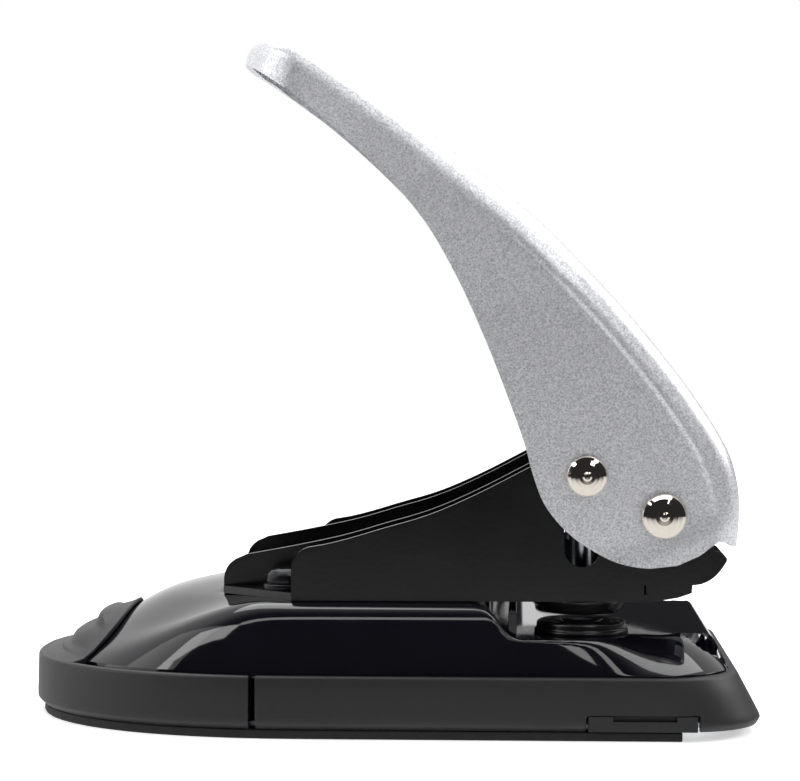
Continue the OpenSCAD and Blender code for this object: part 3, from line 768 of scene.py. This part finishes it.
def thumb_tongue():
    """A half-oval tongue with two saw-tooth ribs, thin at its edge and standing off the dome."""
    root_x, rise, half = -86.0, 13.3, 39.8
    across = np.sin(np.linspace(-math.pi / 2, math.pi / 2, 97))
    along = np.linspace(0, 1, 72)
    verts, faces = [], []
    for side in ("top", "under"):
        for s in across:
            y = s * half
            ahead = 1 - abs(y / (HALF_W - 0.6)) ** PLAN_POWER
            front = BULGE_X - (BULGE_X - FRONT_X - 0.9) * ahead ** (1 / PLAN_POWER)
            back = root_x + rise * math.sqrt(max(1 - s * s, 0))
            for t in along:
                x = front + (back - front) * t
                over_dome = float(dome_reach(x, y)) < 1
                dome = float(cover_height(x, y)) if over_dome else RIM_Z - 2.2
                outward = math.hypot(max(x - root_x, 0) / rise, y / half)
                ribs = float(smooth(1 - outward, 0.1, 0.55))
                plain = float(np.interp(mid_x(x, y), *zip(*TONGUE_PLAIN)))
                top = float(tongue_height(x, y)) * ribs + plain * (1 - ribs)
                low = max(dome + 0.35, plain - 2.4) if over_dome else plain - 2.4
                top = max(top, low + 1.0)
                edge = max(min((1 - abs(s)) * half * 1.1, back - x), 0)
                roll = 1 - math.sqrt(1 - (1 - min(edge / 0.9, 1)) ** 2)
                verts.append((x, y, top - min(0.75, top - low - 0.3) * roll if side == "top" else low))
    n, m = len(along), len(across)
    for block in (0, n * m):
        for i in range(m - 1):
            for j in range(n - 1):
                a, b, c, d = (block + i * n + j, block + i * n + j + 1, block + (i + 1) * n + j + 1,
                              block + (i + 1) * n + j)
                faces.append((a, b, c, d) if block == 0 else (d, c, b, a))
    rim = [i * n for i in range(m)], [i * n + n - 1 for i in range(m)]
    for line in rim:
        faces += [(a, b, b + n * m, a + n * m) for a, b in zip(line, line[1:])]
    for row in (0, (m - 1) * n):
        faces += [(row + j, row + j + 1, row + j + 1 + n * m, row + j + n * m) for j in range(n - 1)]
    make_piece("thumb_tongue", verts, faces, MATT, "drawer", "matt_plastic", sharp=60)


def chip_tray():
    """The tray behind the drawer's front: an open box whose floor spreads out to the front."""
    half, wall, floor_z, top = 47.5, 1.5, cad_box("floor_plate")[1][2] + 0.4, RIM_Z - 1.2
    rear, step_x = cad_box("chip_drawer")[1][0], SEAM_DRAWER_X - 0.2
    spread = [p for p in base_plan(FRONT_X + 2.9, HALF_W - 2.9, REAR_X, 20) if p[0] < step_x]
    first = min(range(len(spread)), key=lambda i: (-spread[i][1] if spread[i][0] > -37 else 0))
    plan = spread[first:] + spread[:first]
    outline = [(step_x, plan[0][1])] + plan + [(step_x, plan[-1][1]), (step_x, -half), (rear, -half),
                                               (rear, half), (step_x, half)]
    make_piece("tray_floor", *prism_z(outline, floor_z, floor_z + 1.2), MATT, "drawer", "matt_plastic")
    x0 = SEAM_DRAWER_X - wall - 0.2
    step = HALF_W - 3.2
    walls = [(x0, step), (x0 + wall, step), (x0 + wall, half), (rear, half), (rear, -half),
             (x0 + wall, -half), (x0 + wall, -step), (x0, -step), (x0, wall - half),
             (rear - wall, wall - half), (rear - wall, half - wall), (x0, half - wall)]
    tray = make_piece("tray_walls", *prism_z(walls, floor_z + 1.1, top), MATT, "drawer", "matt_plastic")
    round_edges(tray, 0.5, 3)


# ---- the lever -------------------------------------------------------------------------

# Down the lever's back and along its front edges, from the foot behind the pivot to the tip.
BACK = [(93.4, 49.7), (94.2, 58), (93.6, 67), (90.2, 77), (80.4, 92), (68.5, 107), (55, 122), (40, 137),
        (21.7, 152), (1.4, 168), (-21.5, 183.2), (-30.5, 185.9), (-36, 186.3), (-40.9, 185.4)]
FRONT = [(88.6, 51.6), (86.6, 50), (83.6, 47.7), (77.5, 45), (70.5, 44.2), (63.5, 45.2), (57.3, 47.7),
         (49.4, 53), (43, 60.5), (39.6, 69), (37.3, 77.4), (32, 92), (26, 107), (19, 122), (10, 137),
         (-3.5, 152), (-21, 167.5), (-37, 178.6), (-40.7, 180.3)]
FACING = [(0, 4.0), (1, 5.3), (2, 6.8), (3, 8.3), (4, 10), (5, 11.1), (6, 12.1), (7, 13.1), (8, 14.15),
          (9, 15.3), (10, 16.3), (11, 16.75), (12, 17), (13, 18)]
# how far the cheek's foot bows up from a straight line, by the share of the way to its front
FOOT_BOW = [(0, 0), (0.10, 1.8), (0.19, 2.7), (0.28, 1.9), (0.43, 0.3), (0.70, -0.9), (1, 0)]
FOOT_UP = np.array([-0.2335, 0.9724])
TIP_FROM = 10.0          # where along the back the tip starts to round off
LEVER_T = 1.6


def lever_half_width(point):
    """Half the lever's width at a point: full as far as the brackets, then narrowing to the tip."""
    reach = (point[0] - PIVOT[0]) * -0.676 + (point[1] - PIVOT[2]) * 0.737
    return LEVER_HW - 19 * np.clip((reach - 60) / 115, 0, 1.1) ** 1.15


def lever_rows():
    """Half sections of the outer skin: from the cheek's edge, up the cheek, over the fillet and
    across the web to the middle."""
    places = list(np.linspace(0, 1, 14)[:-1]) + list(np.linspace(1, 3, 34)[:-1])
    places += list(np.linspace(3, TIP_FROM, 84))
    rows = []
    for u in places:
        back, facing = curve_at(BACK, u), np.interp(u, *zip(*FACING))
        rows.append((u, back, curve_at(FRONT, facing), None))
    tip_half = float(lever_half_width(curve_at(BACK, TIP_FROM)))
    for k in range(1, 41):
        rows.append((None, None, None, math.radians(90 * k / 40)))
    return rows, tip_half


def lever_skin():
    """Half sections of the lever's outer skin, from foot to tip, each running from cheek to middle."""
    back_line = np.array([curve_at(BACK, u) for u in np.linspace(0, len(BACK) - 1, 1400)])
    run = np.concatenate([[0], np.cumsum(np.linalg.norm(np.diff(back_line, axis=0), axis=1))])
    at_param = np.linspace(0, len(BACK) - 1, 1400)

    def back_at(s):
        return np.array([np.interp(s, run, back_line[:, 0]), np.interp(s, run, back_line[:, 1])])

    rows, tip_half = lever_rows()
    s_full, s_corner = run[-1], float(np.interp(TIP_FROM, at_param, run))
    s_reach = s_full - s_corner
    half_rows = []
    for u, back, front, turn in rows:
        if turn is None:
            s, half, normal = float(np.interp(u, at_param, run)), float(lever_half_width(back)), (0.0, 1.0)
            depth = float(np.linalg.norm(front - back))
            into = (front - back) / depth
        else:
            power = 2.1
            c, n = math.cos(turn), math.sin(turn)
            s = s_corner + s_reach * max(n, 0) ** (2 / power)
            half = tip_half * max(c, 0) ** (2 / power)
            grad = (max(n, 1e-9) ** (2 - 2 / power) / s_reach, max(c, 1e-9) ** (2 - 2 / power) / tip_half)
            size = math.hypot(*grad)
            normal = (grad[0] / size, grad[1] / size)
            here = float(np.interp(s, run, at_param))
            back = back_at(s)
            front = curve_at(FRONT, float(np.interp(here, *zip(*FACING))))
            depth = float(np.linalg.norm(front - back))
            into = (front - back) / depth
            u = here
        fillet = min(7.2 - 3.6 * float(smooth(u, 9, 11.5)) - 1.2 * float(1 - smooth(u, 0.3, 3)), depth * 0.6)
        step = 0.5 * float(smooth(u, 0.5, 1.6)) * float(1 - smooth(u, 6.6, 8.4))
        cheek = depth - fillet
        shoulder = min(1.7, cheek * 0.5)
        section = [(step, fillet + shoulder + (cheek - shoulder) * d) for d in np.linspace(1, 0, 15)]
        section += [(step * 0.85, fillet + shoulder * 0.7), (step * 0.15, fillet + shoulder * 0.3)]
        section += [(0.0, fillet)]
        for k in range(1, 13):
            a = math.radians(90 * k / 12)
            section.append((fillet * (1 - math.cos(a)), fillet * (1 - math.sin(a))))
        row = []
        for inset, dep in section:
            y = half - inset * normal[1]
            bow = float(np.interp(dep / depth, *zip(*FOOT_BOW))) * (1 - float(smooth(u, 0, 1.4)))
            at = back_at(s - inset * normal[0]) + into * dep + FOOT_UP * bow
            row.append((at[0], max(y, 0.0), at[1]))
        y_edge = row[-1][1]
        s_edge = s - fillet * normal[0]
        for k in range(1, 13):
            t = k / 12
            y = y_edge * (1 - t)
            at = back_at(s_edge)
            row.append((at[0], y, at[1]))
        half_rows.append(row)
    return half_rows


def lever():
    """The long sheet-metal lever, mirrored from its half sections and given its thickness."""
    rows = lever_skin()
    verts, faces, count = [], [], 2 * len(rows[0]) - 1
    for row in rows:
        verts += row + [(x, -y, z) for x, y, z in row[-2::-1]]
    for i in range(len(rows) - 1):
        for j in range(count - 1):
            a = i * count + j
            faces.append((a, a + 1, a + count + 1, a + count))
    o = loose_mesh("lever_shell", verts, faces, recalculate=False)
    top = max(o.data.polygons, key=lambda p: p.center.z)
    if top.normal.z < 0:
        o.data.flip_normals()
    give_thickness(o, LEVER_T)
    apply_all(o)
    settle(o, SILVER, "lever", ["lever"], sharp=50)
    round_edges(o, 0.5, 3, 55)


# ---- return springs --------------------------------------------------------------------


def wire(path, radius, sides=12):
    """A round wire swept along a path, with closed ends."""
    verts, faces = [], []
    path = [np.array(p, float) for p in path]
    side = None
    for i, p in enumerate(path):
        way = path[min(i + 1, len(path) - 1)] - path[max(i - 1, 0)]
        way = way / np.linalg.norm(way)
        if side is None:
            side = np.cross(way, [0.3, 0.5, 0.8])
        side = side - way * side.dot(way)
        side = side / np.linalg.norm(side)
        other = np.cross(way, side)
        verts += [tuple(p + radius * (side * math.cos(a) + other * math.sin(a)))
                  for a in (2 * math.pi * k / sides for k in range(sides))]
    for i in range(len(path) - 1):
        for k in range(sides):
            j = (k + 1) % sides
            faces.append((i * sides + k, i * sides + j, (i + 1) * sides + j, (i + 1) * sides + k))
    faces += [tuple(range(sides)), tuple(range((len(path) - 1) * sides, len(path) * sides))]
    return verts, faces


def return_spring(side, name):
    """Torsion spring round the pivot: one leg rests on the bracket's floor, the other under the drive rod."""
    coil_r, wire_r, inner, outer, turns = 7.2, 1.0, 34.0, 46.0, 6
    low, high = math.radians(-51), math.radians(92.1)
    centre = np.array([PIVOT[0], 0, PIVOT[2]])

    def on_coil(a, y):
        return centre + [coil_r * math.cos(a), side * y, coil_r * math.sin(a)]

    sweep = turns * 2 * math.pi + (high - low)
    steps = 30 * turns + 12
    coil = [on_coil(low + sweep * k / steps, inner + (outer - inner) * smooth(k / steps, -0.05, 1.05))
            for k in range(steps + 1)]
    foot = [np.array([61.0, side * inner, 38.1]) * (1 - t) + coil[0] * t for t in (0, 0.3, 0.6, 0.85)]
    reach = [coil[-1] * (1 - t) + np.array([48.9, side * outer, 64.28]) * t for t in (0.15, 0.4, 0.7, 1)]
    verts, faces = wire(foot + coil + reach, wire_r)
    spring = loose_mesh(name + "_coil", verts, faces)
    spring.data.materials.append(WIRE)
    spring.data.polygons.foreach_set("use_smooth", [True] * len(spring.data.polygons))
    spring.data.set_sharp_from_angle(angle=math.radians(50))
    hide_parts(name)
    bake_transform(spring)


# ---- CAD nodes that keep their shape ---------------------------------------------------

EDGE_ROUNDING = {"right_bracket": 0.5, "left_bracket": 0.5, "right_guide_bush": 0.35, "left_guide_bush": 0.35,
                 "bracket_washers": 0.3, "bracket_screws": 0.35, "right_die": 0.2, "left_die": 0.2,
                 "right_die_seat": 0.3, "left_die_seat": 0.3, "paper_stop": 0.35, "paper_guide": 0.45,
                 "floor_plate": 0.3, "rubber_mat": 0.6, "chassis": 0.4, "right_pin_stirrup": 0.3,
                 "left_pin_stirrup": 0.3, "pivot_spacer": 0.3, "base_screws": 0.15, "right_punch_pin": 0.15,
                 "left_punch_pin": 0.15}


def dress_cad_nodes():
    """Rounds the edges of the CAD nodes that are shown as they are."""
    for name, width in EDGE_ROUNDING.items():
        round_edges(frame["nodes"][name], width, 3, 30, weld=True)


# ---- run -------------------------------------------------------------------------------

set_camera()
MATT = matt_abs()
GLOSS = gloss_abs()
ENAMEL = black_enamel()
SILVER = silver_lacquer()
NICKEL = polished_nickel()
STEEL = ground_steel()
WIRE = spring_wire()
ZINC = zinc_sheet()
BLACKED = blacked_steel()
RUBBER = moulded_rubber()
set_floor()
set_light()

FINISH_OF = {"matt_plastic": MATT, "gloss_plastic": GLOSS, "mat_rubber": RUBBER, "black_paint": ENAMEL,
             "silver_paint": SILVER, "nickel_rivet": NICKEL, "tool_steel": STEEL, "spring_steel": WIRE,
             "plated_steel": ZINC, "black_steel": BLACKED}
for part in frame["record"]["subparts"]:
    o = frame["nodes"][part["node"]]
    o.data.materials.clear()
    o.data.materials.append(FINISH_OF[part["material_slot"]])

base_skirt()
drawer_front()
thumb_tongue()
chip_tray()
top_cover()
lever()
return_spring(-1, "right_return_spring")
return_spring(1, "left_return_spring")
dress_cad_nodes()
